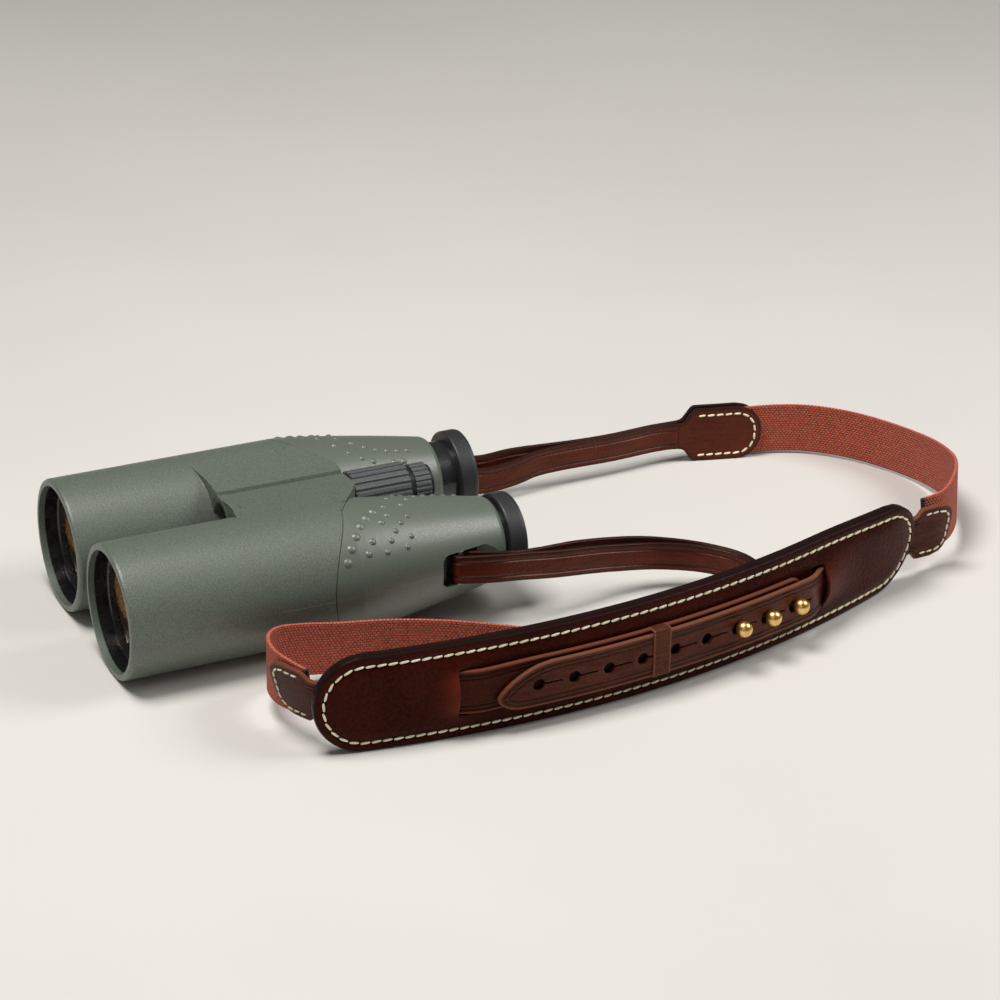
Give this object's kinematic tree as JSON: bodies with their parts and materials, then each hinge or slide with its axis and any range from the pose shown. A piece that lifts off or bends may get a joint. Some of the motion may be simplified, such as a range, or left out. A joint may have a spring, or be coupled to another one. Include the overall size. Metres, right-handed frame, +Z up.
{
  "type": "roof prism binoculars with neck strap",
  "caption": "Roof-prism binoculars in green rubber armour with a centre focus wheel and twist-up eyecups, on a leather and webbing neck strap with a shaped pad.",
  "frame": {"origin": "bottom centre of the binoculars without their strap, at the floor under the middle of their length", "axes": "+Z up, +Y along the optical axes towards the eyepieces, +X towards the left barrel"},
  "size_m": [0.2289, 0.4458, 0.064],
  "materials": {
    "armour_rubber": "fine grained, semi-matte",
    "black_rubber": "satin",
    "black_metal": "satin black",
    "housing_metal": "bead blasted",
    "steel": "turned",
    "brass": "polished",
    "coated_glass": "coated",
    "prism_glass": "polished",
    "strap_leather": "waxed",
    "pad_leather": "waxed",
    "webbing": "woven cotton"
  },
  "bodies": {
    "left_barrel": {"left_housing": "housing_metal", "left_front_armour": "armour_rubber", "left_rear_armour": "armour_rubber", "left_objective_cell": "black_metal", "left_retaining_ring": "black_metal", "left_objective_lens": "coated_glass", "left_prism_holder": "housing_metal", "left_prisms": "prism_glass", "left_eyepiece_tube": "black_metal", "left_eyepiece_lenses": "coated_glass", "left_strap_bar": "steel", "hinge_axle": "steel", "tripod_bush": "brass", "pad_backing": "pad_leather", "pad_panel": "pad_leather", "lower_strap": "strap_leather", "upper_strap": "strap_leather", "studs": "brass", "left_webbing": "webbing", "right_webbing": "webbing", "left_lug_strap": "strap_leather", "right_lug_strap": "strap_leather"},
    "right_barrel": {"right_housing": "housing_metal", "right_front_armour": "armour_rubber", "right_rear_armour": "armour_rubber", "hinge_collar": "armour_rubber", "right_objective_cell": "black_metal", "right_retaining_ring": "black_metal", "right_objective_lens": "coated_glass", "right_prism_holder": "housing_metal", "right_prisms": "prism_glass", "right_eyepiece_tube": "black_metal", "right_eyepiece_lenses": "coated_glass", "right_strap_bar": "steel"},
    "focus_wheel": {"focus_wheel": "black_metal", "focus_grip": "black_rubber", "dioptre_cap": "black_metal"},
    "dioptre_ring": {"dioptre_ring": "black_rubber"},
    "focus_shaft": {"focus_shaft": "steel"},
    "keeper": {"keeper_loop": "strap_leather"},
    "left_carriage": {"left_focus_carriage": "housing_metal", "left_focus_lens": "coated_glass"},
    "left_eyecup_guide": {"left_eyecup_guide": "black_metal"},
    "left_eyecup": {"left_eyecup_sleeve": "black_metal", "left_eyecup_rubber": "black_rubber"},
    "right_carriage": {"right_focus_carriage": "housing_metal", "right_focus_lens": "coated_glass"},
    "right_eyecup_guide": {"right_eyecup_guide": "black_metal"},
    "right_eyecup": {"right_eyecup_sleeve": "black_metal", "right_eyecup_rubber": "black_rubber"}
  },
  "joints": [
    {"name": "barrel_hinge", "type": "hinge", "parent": "left_barrel", "child": "right_barrel", "pos_m": [0, 0, 0.0485], "axis": [0, 1, 0], "range_deg": [-18, 4], "deforming": ["right_lug_strap"]},
    {"name": "focus_turn", "type": "hinge", "parent": "left_barrel", "child": "focus_wheel", "pos_m": [0, 0, 0.0485], "axis": [0, 1, 0], "range_deg": [-270, 270]},
    {"name": "dioptre_turn", "type": "hinge", "parent": "focus_wheel", "child": "dioptre_ring", "pos_m": [0, 0, 0.0485], "axis": [0, 1, 0], "range_deg": [-40, 40]},
    {"name": "shaft_slide", "type": "slide", "parent": "left_barrel", "child": "focus_shaft", "axis": [0, 1, 0], "range_m": [-0.002, 0.002]},
    {"name": "left_carriage_slide", "type": "slide", "parent": "left_barrel", "child": "left_carriage", "axis": [0, 1, 0], "range_m": [-0.002, 0.002]},
    {"name": "right_carriage_slide", "type": "slide", "parent": "right_barrel", "child": "right_carriage", "axis": [0, 1, 0], "range_m": [-0.002, 0.002]},
    {"name": "left_eyecup_twist", "type": "hinge", "parent": "left_barrel", "child": "left_eyecup_guide", "pos_m": [0.03635, 0, 0.032], "axis": [0, 1, 0], "range_deg": [0, 200]},
    {"name": "left_eyecup_slide", "type": "slide", "parent": "left_eyecup_guide", "child": "left_eyecup", "axis": [0, 1, 0], "range_m": [0, 0.01]},
    {"name": "right_eyecup_twist", "type": "hinge", "parent": "right_barrel", "child": "right_eyecup_guide", "pos_m": [-0.03635, 0, 0.032], "axis": [0, 1, 0], "range_deg": [-152, 48]},
    {"name": "right_eyecup_slide", "type": "slide", "parent": "right_eyecup_guide", "child": "right_eyecup", "axis": [0, 1, 0], "range_m": [-0.0076, 0.0024]},
    {"name": "keeper_slide", "type": "slide", "parent": "left_barrel", "child": "keeper", "axis": [-0.1264, 0.992, 0], "range_m": [-0.008, 0.008]}
  ],
  "couplings": [
    {"joint": "shaft_slide", "follows": "focus_turn", "m_per_rad": 0.00042441},
    {"joint": "left_carriage_slide", "follows": "focus_turn", "m_per_rad": 0.00042441},
    {"joint": "right_carriage_slide", "follows": "focus_turn", "m_per_rad": 0.00042441},
    {"joint": "left_eyecup_slide", "follows": "left_eyecup_twist", "m_per_rad": 0.0028648},
    {"joint": "right_eyecup_slide", "follows": "right_eyecup_twist", "m_per_rad": 0.0028648}
  ]
}
